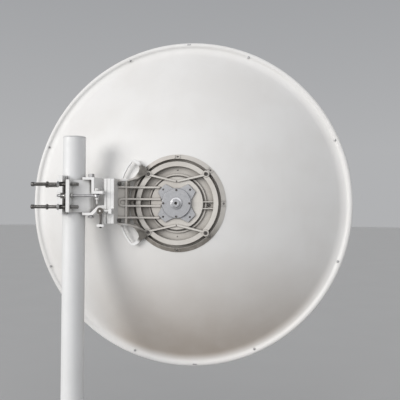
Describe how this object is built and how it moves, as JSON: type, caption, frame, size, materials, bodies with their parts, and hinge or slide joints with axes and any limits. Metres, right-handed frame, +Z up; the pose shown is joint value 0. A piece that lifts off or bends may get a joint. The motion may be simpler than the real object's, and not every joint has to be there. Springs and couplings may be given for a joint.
{
  "type": "parabolic dish antenna",
  "caption": "Microwave parabolic dish with a ribbed hub casting, held beside a foot mast by a pole clamp with fine azimuth and elevation adjusters.",
  "frame": {"origin": "centre of the mast foot's underside, on the mast axis", "axes": "+Z up along the mast, +Y the way the dish looks, +X from the mast towards the dish axis"},
  "size_m": [1.2, 0.554, 1.876],
  "materials": {
    "mast_paint": "satin",
    "bracket_paint": "satin powder coat",
    "dish_paint": "fine powder coat",
    "cast_paint": "painted sand casting",
    "bare_plate": "machined",
    "stainless": "stainless, dulled",
    "cap_plastic": "matte",
    "feed_plastic": "matte"
  },
  "bodies": {
    "mast": {"mast_base": "mast_paint", "mast_tube": "mast_paint", "mast_cap": "cap_plastic", "pole_saddle": "bracket_paint", "clamp_jaw": "bracket_paint", "clamp_rod_near_upper": "stainless", "clamp_rod_near_lower": "stainless", "clamp_rod_far_upper": "stainless", "clamp_rod_far_lower": "stainless", "clamp_nut_near_upper": "stainless", "clamp_nut_near_lower": "stainless", "clamp_nut_far_upper": "stainless", "clamp_nut_far_lower": "stainless", "spare_nut_near_upper": "stainless", "spare_nut_near_lower": "stainless", "spare_nut_far_upper": "stainless", "spare_nut_far_lower": "stainless", "adjuster_nut_left": "stainless", "adjuster_nut_right": "stainless"},
    "azimuth": {"azimuth_bracket": "bracket_paint", "azimuth_pivot_bolt": "stainless", "adjuster_pin": "stainless", "elevation_hook": "bracket_paint"},
    "azimuth_adjuster": {"adjuster_rod": "stainless"},
    "antenna": {"hub_casting": "cast_paint", "reflector": "dish_paint", "feed_plate": "bare_plate", "feed_disc": "bare_plate", "waveguide_boss": "bare_plate", "feed_tube": "bare_plate", "feed_cone": "feed_plastic", "subreflector": "bare_plate", "elevation_pivot": "stainless", "lock_bolt_upper": "stainless", "lock_bolt_lower": "stainless", "elevation_pin": "stainless"},
    "elevation_adjuster": {"elevation_screw": "stainless"}
  },
  "joints": [
    {"name": "azimuth_turn", "type": "hinge", "parent": "mast", "child": "azimuth", "pos_m": [0.0605, 0, 1.276], "axis": [0, 0, 1], "range_deg": [-6, 6]},
    {"name": "adjuster_swing", "type": "hinge", "parent": "azimuth", "child": "azimuth_adjuster", "pos_m": [0.1009, -0.058, 1.2982], "axis": [0, 0, 1], "range_deg": [-4, 4]},
    {"name": "elevation_tilt", "type": "hinge", "parent": "azimuth", "child": "antenna", "pos_m": [0.1418, 0, 1.276], "axis": [1, 0, 0], "range_deg": [-6, 6]},
    {"name": "screw_swing", "type": "hinge", "parent": "antenna", "child": "elevation_adjuster", "pos_m": [0.114, -0.0605, 1.2486], "axis": [1, 0, 0], "range_deg": [-10, 10]}
  ],
  "couplings": [
    {"joint": "adjuster_swing", "follows": "azimuth_turn", "ratio": -0.5809},
    {"joint": "screw_swing", "follows": "elevation_tilt", "ratio": -1.5817}
  ]
}
